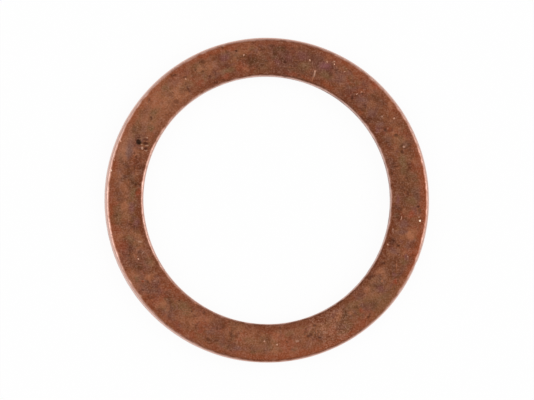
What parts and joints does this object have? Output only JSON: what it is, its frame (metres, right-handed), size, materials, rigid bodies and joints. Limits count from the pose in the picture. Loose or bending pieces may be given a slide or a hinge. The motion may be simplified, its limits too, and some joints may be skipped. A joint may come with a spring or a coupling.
{
  "type": "copper crush washer",
  "caption": "Flat soft-copper sealing ring, blanked from strip, with rolled upper edges and a plain bore, crushed under a plug or union to seal a thread.",
  "frame": {"origin": "centre of the lower sealing face, on the ring's axis", "axes": "+Z along the bore, from the burr-side face to the face with the rolled edges; X and Y across the ring"},
  "size_m": [0.0318, 0.0318, 0.002],
  "materials": {
    "copper": "tarnished, satin, with bare rolled edges"
  },
  "bodies": {
    "root": {"crush_washer": "copper"}
  },
  "joints": []
}
